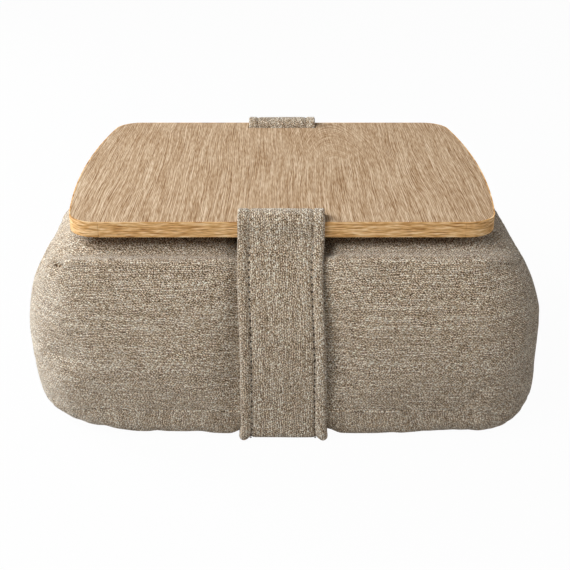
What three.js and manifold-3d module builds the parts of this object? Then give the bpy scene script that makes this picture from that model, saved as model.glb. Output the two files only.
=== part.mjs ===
// Cushioned lap desk: an oak-veneered tray strapped onto a stuffed box cushion.
// Millimetres, +Z up, +Y away from the front edge. The origin is on the floor under the middle.
import * as THREE from 'three';
import { mergeVertices } from 'three/addons/utils/BufferGeometryUtils.js';
import Module from 'manifold-3d';

const wasm = await Module();
wasm.setup();

// Clearances
const softGap = 0.3; // between a soft piece and what it lies on
const glueGap = 0.1; // glue line between an edge band and the board
const hemGap = 0.2; // how far a panel's sewn edge stops short of its seam line

// Tray: a veneered board with straight long edges and bowed ends
const trayChord = 348; // a long edge, before its corners are rounded
const trayDepth = 280;
const endBow = 13;
const trayCornerRadius = 25;
const coreThickness = 12;
const veneerThickness = 0.6;
const bandThickness = 1;
const longBandLength = 300; // up to the joints with the end bands
const bandJointGap = 0.2;
const cornerSteps = 8;
const endSteps = 16;

// Strap slots through the tray
const slotClearance = 2; // beyond each edge of the strap
const slotWidth = 7;
const slotInset = 16; // from the long edge to the middle of the slot
const slotEndSteps = 6;

// Strap: a flat band with rolled, stitched edges
const strapWidth = 70;
const strapThickness = 2.6;
const strapEdgeThickness = 4.8;
const strapStitchInset = 9.5; // from the strap's edge to its stitch row
const strapRollInset = 5; // from the strap's edge to the top of the roll
const strapRollShoulder = 1.5;
const strapShoulderShare = 0.75; // of the roll's thickness, at its shoulder
const loopRise = 8.3; // the loop's outer face above the tray
const loopClearance = 0.7; // between the loop and the tray's long edge
const strapFoldRadius = 5; // where the strap turns up into a slot
const strapTrayGap = 1.1; // between the strap and the tray's underside
const floorTurn = 8; // height of the turn at the foot of the cushion
const strapStandoff = 0.9; // between the strap and the cushion's sides
const strapOverlap = 60; // closed length of the two ends, under the tray
const strapRampLength = 20; // where the lower end dips under the upper one
const foldSteps = 5;
const loopSteps = 12;
const turnSteps = 6;

// Hook and loop tapes that close the strap
const tapeWidth = 44;
const tapeLength = 54;
const tapeThickness = 1;
const tapeCornerRadius = 4;
const tapeGap = 0.45; // between the hooks and the loops

// Cushion: a stuffed box with a crowned top and bottom and bulging sides
const cushionWidth = 452;
const cushionDepth = 334;
const cushionCornerRadius = 66;
const cushionHeight = 180;
const bulgeHeight = 72; // where the sides stand out most
const sidePower = 2.2; // how the sides draw in from the bulge to the seams

// The seams round the top and bottom panels: how high they run at the front, at the ends and at the
// corners, how far they draw in from the bulge there, and how squarely the panel turns over to them
const topRise = 17; // from the top seam at the front up to the tray
const topEndDrop = 16; // how much lower the top seam runs at the ends
const topSeam = {
  height: cushionHeight - topRise,
  endHeight: cushionHeight - topRise - topEndDrop,
  cornerDrop: 6,
  draw: 13,
  endDraw: 18,
  cornerDraw: 2,
  crown: 3.2,
};
const bottomSeam = {
  height: 29,
  endHeight: 27,
  cornerDrop: 12,
  draw: 1,
  endDraw: 2,
  cornerDraw: 2,
  crown: 12,
  frontCrown: 26, // in the middle of the front and rear, where the filling presses it square
};

// Grid lines across a corner of the cushion, as shares of its radius
const coverCornerShares = [0.5, 0.85, 0.95, 1];
const bagCornerShares = [0.5, 1];

// Channels that the strap presses into the cushion
const channelClearance = 2; // beyond each edge of the strap
const channelSlope = 10;
const channelFade = 4; // how late the top channel runs out towards the seams
const topEdgeDent = 7;

// Cover, inner bag and zip pocket
const coverThickness = 1.2;
const bagThickness = 0.6;
const bagEase = 0.6; // between the cover and the inner bag
const pocketDepth = 3.6; // the bag stands back from the zip by this much

// Zip across the right-hand end
const valleyShoulder = 16; // half height of the valley's floor, over the tapes
const valleyHalf = 28;
const zipGap = 14; // between the two end panels
const zipTapeWidth = 11;
const zipTapeThickness = 0.6;
const zipEndAllowance = 26; // tape length that the teeth leave free, both ends together
const toothPitch = 3;
const toothWidth = 1.2;
const toothThickness = 2.4;
const toothReach = 1.2; // past the middle line
const beadInner = 1.5;
const beadOuter = 2.8;
const tapeToBead = 0.1;
const stopLength = 2.6;
const stopGap = 0.6;

// Zip slider and pull
const sliderLength = 12;
const sliderMouthWidth = 10;
const sliderTailWidth = 8.6;
const sliderNeck = 4; // length of the narrow tail
const sliderShoulder = 3; // length over which the mouth rounds off
const sliderSteps = 9;
const sliderPlate = 1.2;
const sliderClearance = 0.4; // between a plate and the teeth
const flangeWidth = 1.1;
const flangeGap = 0.3; // between a flange and the tape
const wedgeLength = 3;
const wedgeWidth = 2.2;
const wedgeLead = 0.8; // from the last tooth to the wedge
const sliderPastTeeth = 5;
const bailLength = 7.2;
const bailHeight = 3.4;
const bailBar = 1;
const bailWidth = 2;
const pullLength = 24;
const pullWidth = 6;
const pullThickness = 1.2;
const pullCornerRadius = 2;
const pullEyeLength = 5.4;
const pullEyeWidth = 3;
const pullBarRadius = 0.7;
const pullBarSides = 8;
const pullLift = 1.2; // pivot above the slider's face

// Heights and places that follow from the sizes above
const trayUnderside = cushionHeight + softGap;
const trayThickness = coreThickness + 2 * veneerThickness;
const trayTop = trayUnderside + trayThickness;
const slotY = trayDepth / 2 - slotInset;
const straightX = cushionWidth / 2 - cushionCornerRadius;
const straightY = cushionDepth / 2 - cushionCornerRadius;
const channelHalf = strapWidth / 2 + channelClearance;
const strapHalf = strapEdgeThickness / 2;
const strapLayerStep = strapThickness + 2 * (tapeThickness + softGap) + tapeGap;
const strapUpperZ = trayUnderside - strapTrayGap - strapHalf;
const strapLowerZ = strapUpperZ - strapLayerStep;
const topChannel = cushionHeight - (strapUpperZ - strapHalf - softGap);
const closureChannel = topChannel + strapLayerStep;
const bottomChannel = strapEdgeThickness + 2 * softGap;
const zipMiddle = bulgeHeight;
const toothDepth = coverThickness + softGap + zipTapeThickness / 2; // behind the end's face
const plateReach = toothThickness / 2 + sliderClearance;
const zipValley = plateReach + sliderPlate + bailHeight - toothDepth; // sinks the slider to the end's bulge
const zipFace = cushionWidth / 2 - zipValley;
const toothMiddle = zipFace - toothDepth;
const zipTapeLength = 2 * (straightY - hemGap);
const chainLength = 2 * straightY - zipEndAllowance;
const sliderMiddle = chainLength / 2 + sliderPastTeeth - sliderLength / 2;
const sliderFace = toothMiddle + plateReach + sliderPlate;
const pullPivot = sliderFace + pullLift;

// Looks
const oakFace = new THREE.MeshStandardMaterial({ color: 0xc9a27b, roughness: 0.55, metalness: 0 });
const oakEdge = new THREE.MeshStandardMaterial({ color: 0xb98a55, roughness: 0.6, metalness: 0 });
const boardCore = new THREE.MeshStandardMaterial({ color: 0x9c7a55, roughness: 0.9, metalness: 0 });
const tweed = new THREE.MeshStandardMaterial({ color: 0xa3937f, roughness: 0.95, metalness: 0 });
const tapeWeave = new THREE.MeshStandardMaterial({ color: 0x8d7f6d, roughness: 0.9, metalness: 0 });
const toothPlastic = new THREE.MeshStandardMaterial({ color: 0x7d7163, roughness: 0.5, metalness: 0 });
const sliderMetal = new THREE.MeshStandardMaterial({ color: 0x6f665b, roughness: 0.4, metalness: 0.8 });
const bagCloth = new THREE.MeshStandardMaterial({ color: 0xe6e1d8, roughness: 0.95, metalness: 0 });
const fillingFoam = new THREE.MeshStandardMaterial({ color: 0xf1eee6, roughness: 1, metalness: 0 });

const weldDistance = 1e-4;
const lapDesk = new THREE.Group();

function addPiece(name, geometry, material) {
  const mesh = new THREE.Mesh(geometry, material);
  mesh.name = name;
  lapDesk.add(mesh);
  return mesh;
}

// Joining and cutting

function toSolid(geometry) {
  const bare = geometry.clone();
  bare.deleteAttribute('normal');
  bare.deleteAttribute('uv');
  const merged = mergeVertices(bare, weldDistance);
  const vertProperties = new Float32Array(merged.attributes.position.array);
  const triVerts = new Uint32Array(merged.index.array);
  return new wasm.Manifold(new wasm.Mesh({ numProp: 3, vertProperties, triVerts }));
}

function toGeometry(solid) {
  const { vertProperties, triVerts } = solid.getMesh();
  const geometry = new THREE.BufferGeometry();
  geometry.setAttribute('position', new THREE.BufferAttribute(new Float32Array(vertProperties), 3));
  geometry.setIndex(new THREE.BufferAttribute(new Uint32Array(triVerts), 1));
  return geometry;
}

function extrude(shape, depth) {
  return new THREE.ExtrudeGeometry(shape, { depth, bevelEnabled: false, curveSegments: slotEndSteps });
}

function facesOf(points, triangles) {
  const geometry = new THREE.BufferGeometry();
  const positions = points.flatMap((p) => [p.x, p.y, p.z]);
  geometry.setAttribute('position', new THREE.Float32BufferAttribute(positions, 3));
  geometry.setIndex(triangles.flat());
  return geometry;
}

function rectangle(width, height, radius) {
  const x = width / 2 - radius;
  const y = height / 2 - radius;
  const corners = [[x, -y, -0.5], [x, y, 0], [-x, y, 0.5], [-x, -y, 1]];
  const quarter = ([cx, cy, turn]) => arc(cx, cy, radius, turn, turn + 0.5, slotEndSteps);
  return new THREE.Shape(corners.flatMap(quarter));
}

// Points along an arc whose angles are in half turns
function arc(cx, cy, radius, from, to, steps) {
  return Array.from({ length: steps + 1 }, (_, i) => {
    const angle = Math.PI * (from + ((to - from) * i) / steps);
    return new THREE.Vector2(cx + radius * Math.cos(angle), cy + radius * Math.sin(angle));
  });
}

// Tray

function trayOutline(inset) {
  const half = trayDepth / 2;
  const endRadius = (half * half + endBow * endBow) / (2 * endBow);
  const endCentre = trayChord / 2 + endBow - endRadius;
  const cornerY = half - trayCornerRadius;
  const reach = Math.sqrt((endRadius - trayCornerRadius) ** 2 - cornerY ** 2);
  const cornerX = endCentre + reach;
  const turn = Math.atan2(cornerY, reach) / Math.PI;
  const corner = trayCornerRadius - inset;
  const rightHalf = [
    ...arc(cornerX, -cornerY, corner, -0.5, -turn, cornerSteps),
    ...arc(endCentre, 0, endRadius - inset, -turn, turn, endSteps).slice(1, -1),
    ...arc(cornerX, cornerY, corner, turn, 0.5, cornerSteps),
  ];
  return [...rightHalf, ...rightHalf.map((p) => new THREE.Vector2(-p.x, -p.y))];
}

function slotHole(y) {
  const x = (strapWidth + 2 * slotClearance - slotWidth) / 2;
  return new THREE.Path([
    ...arc(x, y, slotWidth / 2, -0.5, 0.5, slotEndSteps),
    ...arc(-x, y, slotWidth / 2, 0.5, 1.5, slotEndSteps),
  ]);
}

function traySheet(thickness) {
  const shape = new THREE.Shape(trayOutline(bandThickness + glueGap));
  shape.holes.push(slotHole(-slotY), slotHole(slotY));
  return extrude(shape, thickness);
}

function makeTray() {
  const core = addPiece('tray_core', traySheet(coreThickness), boardCore);
  core.position.z = trayUnderside + veneerThickness;
  const topVeneer = addPiece('tray_top_veneer', traySheet(veneerThickness), oakFace);
  topVeneer.position.z = trayTop - veneerThickness;
  const bottomVeneer = addPiece('tray_bottom_veneer', traySheet(veneerThickness), oakFace);
  bottomVeneer.position.z = trayUnderside;
}

function bandCutter(width, depth, x, y) {
  return toSolid(new THREE.BoxGeometry(width, depth, 3 * trayThickness).translate(x, y, 0));
}

// The bands are one ring round the board, cut at the joints on its long edges
function makeEdgeBands() {
  const ringShape = new THREE.Shape(trayOutline(0));
  ringShape.holes.push(new THREE.Path(trayOutline(bandThickness)));
  const ring = toSolid(extrude(ringShape, trayThickness));
  const endReach = trayChord + 2 * endBow;
  const endStart = (longBandLength + endReach) / 2 + bandJointGap;
  const longBand = bandCutter(longBandLength, trayDepth, 0, trayDepth / 2);
  const endBand = bandCutter(endReach, 2 * trayDepth, endStart, 0);
  const bands = [
    ['edge_band_front', ring.intersect(longBand.mirror([0, 1, 0]))],
    ['edge_band_rear', ring.intersect(longBand)],
    ['edge_band_left', ring.intersect(endBand.mirror([1, 0, 0]))],
    ['edge_band_right', ring.intersect(endBand)],
  ];
  for (const [name, solid] of bands) {
    addPiece(name, toGeometry(solid), oakEdge).position.z = trayUnderside;
  }
}

// Cushion surface: a grid over the top, rings round the sides and a grid under the bottom

// A grid line has a place on the straight stretch and a share of the corner beyond it
function gridLines(straight, inner, cornerShares) {
  const half = [...inner, straight].map((at) => ({ at, share: 0 }));
  const corner = cornerShares.map((share) => ({ at: straight, share }));
  const positive = [...half, ...corner];
  const mirrored = positive.filter((line) => line.at > 0).reverse();
  return [...mirrored.map(({ at, share }) => ({ at: -at, share: -share })), ...positive];
}

const closureHalf = strapOverlap / 2 + strapRampLength;

// Plan position on the grid, and the height of the seam beside it, where drawn is the share of the
// seam's draw that applies: edge is 0 over the flat middle and 1 at the border
function planPoint(column, row, seam, drawn) {
  const p = column.share * Math.sqrt(1 - row.share ** 2 / 2);
  const q = row.share * Math.sqrt(1 - column.share ** 2 / 2);
  const edge = Math.hypot(p, q);
  const end = edge > 0 ? (p / edge) ** 2 : 0;
  const corner = 2 * Math.abs(p * q);
  const draw = THREE.MathUtils.lerp(seam.draw, seam.endDraw, end) + seam.cornerDraw * corner;
  const radius = cushionCornerRadius - draw * drawn;
  const seamZ = THREE.MathUtils.lerp(seam.height, seam.endHeight, end) - seam.cornerDrop * corner;
  return { x: column.at + radius * p, y: row.at + radius * q, edge, end, seamZ };
}

// 1 on the floor of the strap's channel, 0 outside it
function acrossChannel(x) {
  return THREE.MathUtils.clamp((channelHalf + channelSlope - Math.abs(x)) / channelSlope, 0, 1);
}

function topPoint(column, row) {
  const { x, y, edge, seamZ } = planPoint(column, row, topSeam, 1);
  const crown = (cushionHeight - seamZ) * (1 - edge ** topSeam.crown);
  const closure = THREE.MathUtils.clamp((closureHalf + channelSlope - Math.abs(y)) / channelSlope, 0, 1);
  const depth = THREE.MathUtils.lerp(topChannel, closureChannel, closure) * (1 - edge ** channelFade);
  const dent = topEdgeDent * edge ** 2 * Math.sign(y);
  return new THREE.Vector3(x, y - dent * acrossChannel(x), seamZ + crown - depth * acrossChannel(x));
}

function bottomPoint(column, row) {
  const { x, y, edge, end, seamZ } = planPoint(column, row, bottomSeam, 1);
  const middle = (1 - (column.at / straightX) ** 2) * (1 - end);
  const crown = THREE.MathUtils.lerp(bottomSeam.crown, bottomSeam.frontCrown, middle);
  const channel = bottomChannel * (1 - edge ** crown) * acrossChannel(x);
  return new THREE.Vector3(x, y, seamZ * edge ** crown + channel);
}

function nearSeam(z) {
  return z > bulgeHeight ? topSeam : bottomSeam;
}

// 0 at the bulge, 1 at a seam, by the heights that the front has
function towardsSeam(z) {
  return (z - bulgeHeight) / (nearSeam(z).height - bulgeHeight);
}

function strapDent(z) {
  return z > bulgeHeight ? topEdgeDent * towardsSeam(z) ** 2 : 0;
}

// 1 on the floor of the zip's valley and beside it over the tapes, 0 past its slopes
function acrossValley(z, floor) {
  return THREE.MathUtils.smoothstep(valleyHalf - Math.abs(z - zipMiddle), 0, valleyHalf - floor);
}

function sidePoint(column, row, z) {
  const share = towardsSeam(z);
  const { x, y, seamZ } = planPoint(column, row, nearSeam(z), share ** sidePower);
  const sink = (nearSeam(z).height - seamZ) * share;
  const dent = column.share === 0 ? strapDent(z) * acrossChannel(x) * Math.sign(y) : 0;
  const alongEnd = column.share === 1 ? (1 - Math.abs(row.share)) ** 2 : 0;
  const valley = zipValley * alongEnd * acrossValley(z, zipGap / 2);
  return new THREE.Vector3(x - valley, y - dent, z - sink);
}

const sideHeights = [
  topSeam.height,
  (topSeam.height + zipMiddle + valleyHalf) / 2,
  zipMiddle + valleyHalf,
  zipMiddle + valleyShoulder,
  zipMiddle + zipGap / 2,
  zipMiddle - zipGap / 2,
  zipMiddle - valleyShoulder,
  zipMiddle - valleyHalf,
  bottomSeam.height,
];

// The grid's border, anticlockwise seen from above, as pairs of column and row numbers
function borderLoop(columns, rows) {
  const lastColumn = columns.length - 1;
  const lastRow = rows.length - 1;
  const front = columns.map((_, c) => [c, 0]);
  const right = rows.map((_, r) => [lastColumn, r]).slice(1);
  const rear = columns.map((_, c) => [lastColumn - c, lastRow]).slice(1);
  const left = rows.map((_, r) => [0, lastRow - r]).slice(1, -1);
  return [...front, ...right, ...rear, ...left];
}

// The whole outer surface, with each face marked by its place, and a normal at each point
function cushionSurface(cornerShares) {
  const columns = gridLines(straightX, [0, channelHalf, channelHalf + channelSlope], cornerShares);
  const rows = gridLines(straightY, [closureHalf, closureHalf + channelSlope], cornerShares);
  const points = [];
  const faces = [];
  const loop = borderLoop(columns, rows);
  const onBorder = new Map(loop.map(([c, r], i) => [`${c},${r}`, i]));
  const ringStart = sideHeights.map((z) => {
    const start = points.length;
    points.push(...loop.map(([c, r]) => sidePoint(columns[c], rows[r], z)));
    return start;
  });

  function addGrid(place, makePoint, ring, facingUp) {
    const index = columns.map((column, c) => rows.map((row, r) => {
      const border = onBorder.get(`${c},${r}`);
      return border === undefined ? points.push(makePoint(column, row)) - 1 : ring + border;
    }));
    for (let c = 0; c < columns.length - 1; c += 1) {
      for (let r = 0; r < rows.length - 1; r += 1) {
        const quad = [index[c][r], index[c + 1][r], index[c + 1][r + 1], index[c][r + 1]];
        const rightHalf = columns[c].at + columns[c + 1].at > 0;
        const rearHalf = rows[r].at + rows[r + 1].at > 0;
        const turned = rightHalf === rearHalf ? quad : [...quad.slice(1), quad[0]];
        faces.push({ place, quad: facingUp ? turned : [turned[0], turned[3], turned[2], turned[1]] });
      }
    }
  }

  addGrid('top', topPoint, ringStart[0], true);
  addGrid('bottom', bottomPoint, ringStart.at(-1), false);
  for (let band = 0; band < sideHeights.length - 1; band += 1) {
    loop.forEach(([c, r], i) => {
      const next = (i + 1) % loop.length;
      const upper = ringStart[band];
      const lower = ringStart[band + 1];
      const [nextColumn, nextRow] = loop[next];
      const atEnd = c === nextColumn && columns[c].share === 1;
      const onPanel = atEnd && rows[r].share === 0 && rows[nextRow].share === 0;
      const quad = [upper + i, lower + i, lower + next, upper + next];
      faces.push({ place: onPanel ? 'end' : 'side', band, quad });
    });
  }
  return { points, faces, normals: surfaceNormals(points, faces) };
}

function surfaceNormals(points, faces) {
  const normals = points.map(() => new THREE.Vector3());
  for (const { quad } of faces) {
    const [a, b, c, d] = quad.map((i) => points[i]);
    const facing = c.clone().sub(a).cross(d.clone().sub(b));
    quad.forEach((i) => normals[i].add(facing));
  }
  return normals.map((normal) => normal.normalize());
}

// How far the inner bag stands back behind the zip
function pocket({ x, z }) {
  const atEnd = THREE.MathUtils.smoothstep(x, straightX, zipFace);
  return pocketDepth * atEnd * acrossValley(z, valleyShoulder);
}

function inside(surface, i, depth) {
  return surface.points[i].clone().addScaledVector(surface.normals[i], -depth);
}

function twoTriangles([a, b, c, d]) {
  return [[a, b, c], [a, c, d]];
}

// A panel of even thickness under part of the surface, hemmed back from its own border
function shell(surface, belongs, depthAt, thickness) {
  const faces = surface.faces.filter(belongs);
  const used = [...new Set(faces.flatMap(({ quad }) => quad))];
  const place = new Map(used.map((i, n) => [i, n]));
  const quads = faces.map(({ quad }) => quad.map((i) => place.get(i)));
  const triangles = quads.flatMap(twoTriangles);
  const edges = quads.flatMap((quad) => quad.map((i, n) => [i, quad[(n + 1) % 4]]));
  const known = new Set(edges.map(([a, b]) => `${a},${b}`));
  const border = edges.filter(([a, b]) => !known.has(`${b},${a}`));
  const pulls = hemPulls(surface, faces, used, new Set(border.flat()));
  const depths = used.map((i) => depthAt(surface.points[i]));
  const outer = used.map((i, n) => inside(surface, i, depths[n]).add(pulls[n]));
  const inner = used.map((i, n) => inside(surface, i, depths[n] + thickness).add(pulls[n]));
  const back = used.length;
  return facesOf([...outer, ...inner], [
    ...triangles,
    ...triangles.map(([a, b, c]) => [c + back, b + back, a + back]),
    ...border.flatMap(([a, b]) => [[b, a, a + back], [b, a + back, b + back]]),
  ]);
}

// Each border point moves by the hem, towards the middle of the faces that it belongs to
function hemPulls(surface, faces, used, border) {
  return used.map((i, n) => {
    const pull = new THREE.Vector3();
    if (!border.has(n)) return pull;
    for (const { quad } of faces.filter((face) => face.quad.includes(i))) {
      quad.forEach((j) => pull.add(surface.points[j]).sub(surface.points[i]));
    }
    return pull.addScaledVector(surface.normals[i], -pull.dot(surface.normals[i])).setLength(hemGap);
  });
}

const upperZipBand = sideHeights.indexOf(zipMiddle + zipGap / 2);
const onTop = (face) => face.place === 'top';
const onBottom = (face) => face.place === 'bottom';
const aboveZip = (face) => face.band < upperZipBand;
const belowZip = (face) => face.band > upperZipBand;

function makeCover() {
  const surface = cushionSurface(coverCornerShares);
  const panels = [
    ['cover_top_panel', onTop],
    ['cover_boxing', (face) => face.place === 'side'],
    ['cover_end_upper', (face) => face.place === 'end' && aboveZip(face)],
    ['cover_end_lower', (face) => face.place === 'end' && belowZip(face)],
    ['cover_bottom_panel', onBottom],
  ];
  for (const [name, belongs] of panels) {
    addPiece(name, shell(surface, belongs, () => 0, coverThickness), tweed);
  }
}

function makeFilling() {
  const surface = cushionSurface(bagCornerShares);
  const bagDepth = (point) => coverThickness + bagEase + pocket(point);
  const inUpperBag = (face) => onTop(face) || aboveZip(face);
  const inLowerBag = (face) => !inUpperBag(face);
  addPiece('inner_bag_upper', shell(surface, inUpperBag, bagDepth, bagThickness), bagCloth);
  addPiece('inner_bag_lower', shell(surface, inLowerBag, bagDepth, bagThickness), bagCloth);
  const fillDepth = (point) => bagDepth(point) + bagThickness + softGap;
  const points = surface.points.map((point, i) => inside(surface, i, fillDepth(point)));
  const triangles = surface.faces.flatMap(({ quad }) => twoTriangles(quad));
  addPiece('filling', facesOf(points, triangles), fillingFoam);
}

// Strap

// Half of the section, from one edge over its roll and stitch row, and the same turned round
function strapSection() {
  const half = strapWidth / 2;
  const roll = strapEdgeThickness / 2;
  const flat = strapThickness / 2;
  const upper = [
    [half, 0],
    [half - strapRollShoulder, roll * strapShoulderShare],
    [half - strapRollInset, roll],
    [half - strapStitchInset, flat],
    [strapStitchInset - half, flat],
    [strapRollInset - half, roll],
    [strapRollShoulder - half, roll * strapShoulderShare],
  ];
  return [...upper, ...upper.map(([x, n]) => [-x, -n])].map(([x, n]) => new THREE.Vector2(x, n));
}

function frontFace(z) {
  const draw = nearSeam(z).draw * towardsSeam(z) ** sidePower;
  return -(cushionDepth / 2 - draw - strapDent(z)) - strapHalf - strapStandoff;
}

// The strap's middle line from the tray's underside to the floor, as y and z
function frontRoute() {
  const foldMiddle = new THREE.Vector2(strapFoldRadius - slotY, strapUpperZ + strapFoldRadius);
  const fold = arc(foldMiddle.x, foldMiddle.y, strapFoldRadius, 1.5, 1, foldSteps);
  const outerY = -(trayDepth / 2 + loopClearance + strapHalf);
  const middleY = (outerY - slotY) / 2;
  const loop = new THREE.EllipseCurve(middleY, trayTop, -slotY - middleY, loopRise - strapHalf, 0, Math.PI);
  const leavesTray = new THREE.Vector2(outerY, trayUnderside);
  const face = sideHeights.filter((z) => z > floorTurn).map((z) => new THREE.Vector2(frontFace(z), z));
  const turnStart = new THREE.Vector2(frontFace(floorTurn), floorTurn);
  const turnCorner = new THREE.Vector2(turnStart.x, strapHalf);
  const turnEnd = new THREE.Vector2(turnStart.x + floorTurn, strapHalf);
  const turn = new THREE.QuadraticBezierCurve(turnStart, turnCorner, turnEnd);
  return [...fold, ...loop.getPoints(loopSteps), leavesTray, ...face, ...turn.getPoints(turnSteps)];
}

function strapRoute() {
  const front = frontRoute();
  const rear = front.map((p) => new THREE.Vector2(-p.x, p.y)).reverse();
  const overlapHalf = strapOverlap / 2;
  const upperEnd = new THREE.Vector2(overlapHalf, strapUpperZ);
  const lowerEnd = [
    new THREE.Vector2(overlapHalf + strapRampLength, strapUpperZ),
    new THREE.Vector2(overlapHalf + softGap, strapLowerZ),
    new THREE.Vector2(-overlapHalf, strapLowerZ),
  ];
  return [upperEnd, ...front, ...rear, ...lowerEnd];
}

function makeStrap() {
  const section = strapSection();
  const route = strapRoute();
  const sides = section.length;
  const points = route.flatMap((p, i) => {
    const before = route[Math.max(i - 1, 0)];
    const after = route[Math.min(i + 1, route.length - 1)];
    const along = after.clone().sub(before).normalize();
    return section.map((s) => new THREE.Vector3(s.x, p.x - along.y * s.y, p.y + along.x * s.y));
  });
  const skin = route.slice(1).flatMap((_, i) => section.flatMap((__, j) => {
    const next = (j + 1) % sides;
    return twoTriangles([i * sides + j, (i + 1) * sides + j, (i + 1) * sides + next, i * sides + next]);
  }));
  const cap = THREE.ShapeUtils.triangulateShape(section, []);
  const last = (route.length - 1) * sides;
  const ends = cap.flatMap(([a, b, c]) => [[a, b, c], [c + last, b + last, a + last]]);
  addPiece('strap', facesOf(points, [...skin, ...ends]), tweed);
}

function makeStrapTapes() {
  const tape = rectangle(tapeWidth, tapeLength, tapeCornerRadius);
  const hook = addPiece('strap_hook_tape', extrude(tape, tapeThickness), tapeWeave);
  hook.position.z = strapUpperZ - strapThickness / 2 - softGap - tapeThickness;
  const loop = addPiece('strap_loop_tape', extrude(tape, tapeThickness), tapeWeave);
  loop.position.z = strapLowerZ + strapThickness / 2 + softGap;
}

// Zip: flat shapes are drawn with x along the zip and y across it, then stood up on the end

const zipGroup = new THREE.Group();
zipGroup.position.set(0, 0, zipMiddle);
const right = new THREE.Vector3(1, 0, 0);
const rearward = new THREE.Vector3(0, 1, 0);
const upward = new THREE.Vector3(0, 0, 1);
zipGroup.quaternion.setFromRotationMatrix(new THREE.Matrix4().makeBasis(rearward, upward, right));
lapDesk.add(zipGroup);

function addZipPiece(name, geometry, material) {
  const mesh = new THREE.Mesh(geometry, material);
  mesh.name = name;
  zipGroup.add(mesh);
  return mesh;
}

function block(length, width, thickness, along, across, out) {
  return new THREE.BoxGeometry(length, width, thickness).translate(along, across, out);
}

function makeZipTapes() {
  const across = beadOuter + tapeToBead + zipTapeWidth / 2;
  for (const [name, side] of [['zip_tape_upper', 1], ['zip_tape_lower', -1]]) {
    const tape = block(zipTapeLength, zipTapeWidth, zipTapeThickness, 0, side * across, toothMiddle);
    addZipPiece(name, tape, tapeWeave);
  }
}

// One row of teeth on its bead, drawn for the upper tape
function toothRow(offset) {
  const chainEnd = chainLength / 2;
  const shape = [new THREE.Vector2(chainEnd, beadOuter), new THREE.Vector2(-chainEnd, beadOuter)];
  shape.push(new THREE.Vector2(-chainEnd, beadInner));
  const count = Math.floor((chainLength - toothPitch) / toothPitch);
  for (let i = 0; i < count; i += 1) {
    const middle = (i - (count - 1) / 2) * toothPitch + offset;
    const left = middle - toothWidth / 2;
    const right = middle + toothWidth / 2;
    shape.push(new THREE.Vector2(left, beadInner), new THREE.Vector2(left, -toothReach));
    shape.push(new THREE.Vector2(right, -toothReach), new THREE.Vector2(right, beadInner));
  }
  shape.push(new THREE.Vector2(chainEnd, beadInner));
  return extrude(new THREE.Shape(shape), toothThickness).translate(0, 0, toothMiddle - toothThickness / 2);
}

function makeZipTeeth() {
  addZipPiece('zip_teeth_upper', toothRow(toothPitch / 4), toothPlastic);
  const lower = toothRow(-toothPitch / 4).rotateX(Math.PI).translate(0, 0, 2 * toothMiddle);
  addZipPiece('zip_teeth_lower', lower, toothPlastic);
}

function makeZipStops() {
  const stopWidth = beadOuter - wedgeWidth / 2;
  const topStart = chainLength / 2 + sliderPastTeeth + stopGap + stopLength / 2;
  const across = beadOuter - stopWidth / 2;
  for (const [name, side] of [['zip_top_stop_upper', 1], ['zip_top_stop_lower', -1]]) {
    const stop = block(stopLength, stopWidth, toothThickness, topStart, side * across, toothMiddle);
    addZipPiece(name, stop, toothPlastic);
  }
  const bottomStart = -chainLength / 2 - stopGap - stopLength / 2;
  const bottomStop = block(stopLength, 2 * beadOuter, toothThickness, bottomStart, 0, toothMiddle);
  addZipPiece('zip_bottom_stop', bottomStop, toothPlastic);
}

// A slider plate: broad at the mouth, drawn in to a narrower tail
function sliderOutline(inset) {
  const tail = -sliderLength / 2;
  const mouth = sliderLength / 2;
  const narrow = sliderTailWidth / 2 - inset;
  const broad = sliderMouthWidth / 2 - inset;
  const upper = new THREE.SplineCurve([
    new THREE.Vector2(tail, narrow),
    new THREE.Vector2(tail + sliderNeck, narrow),
    new THREE.Vector2(mouth - sliderShoulder, broad),
    new THREE.Vector2(mouth, broad - sliderPlate),
  ]).getPoints(sliderSteps);
  return [...upper, ...upper.map((p) => new THREE.Vector2(p.x, -p.y)).reverse()];
}

function sliderHalf() {
  const plate = toSolid(extrude(new THREE.Shape(sliderOutline(0)), sliderPlate).translate(0, 0, plateReach));
  const flangeReach = zipTapeThickness / 2 + flangeGap;
  const sides = [-1, 1].map((side) => {
    const strip = sliderOutline(0).filter((p) => p.y * side > 0);
    const back = sliderOutline(flangeWidth).filter((p) => p.y * side > 0).reverse();
    const flange = extrude(new THREE.Shape([...strip, ...back]), plateReach - flangeReach + glueGap);
    return toSolid(flange.translate(0, 0, flangeReach));
  });
  return sides.reduce((solid, side) => solid.add(side), plate);
}

function makeSlider() {
  const outer = sliderHalf();
  const inner = outer.mirror([0, 0, 1]);
  const wedgeMiddle = chainLength / 2 + wedgeLead + wedgeLength / 2 - sliderMiddle;
  const wedge = new THREE.Shape([
    new THREE.Vector2(wedgeMiddle - wedgeLength / 2, 0),
    new THREE.Vector2(wedgeMiddle, -wedgeWidth / 2),
    new THREE.Vector2(wedgeMiddle + wedgeLength / 2, -wedgeWidth / 2),
    new THREE.Vector2(wedgeMiddle + wedgeLength / 2, wedgeWidth / 2),
    new THREE.Vector2(wedgeMiddle, wedgeWidth / 2),
  ]);
  const wedgeHeight = 2 * (plateReach + glueGap);
  const post = toSolid(extrude(wedge, wedgeHeight).translate(0, 0, -wedgeHeight / 2));
  const slider = outer.add(inner).add(post).add(bail());
  addZipPiece('zip_slider', toGeometry(slider).translate(sliderMiddle, 0, toothMiddle), sliderMetal);
}

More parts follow.
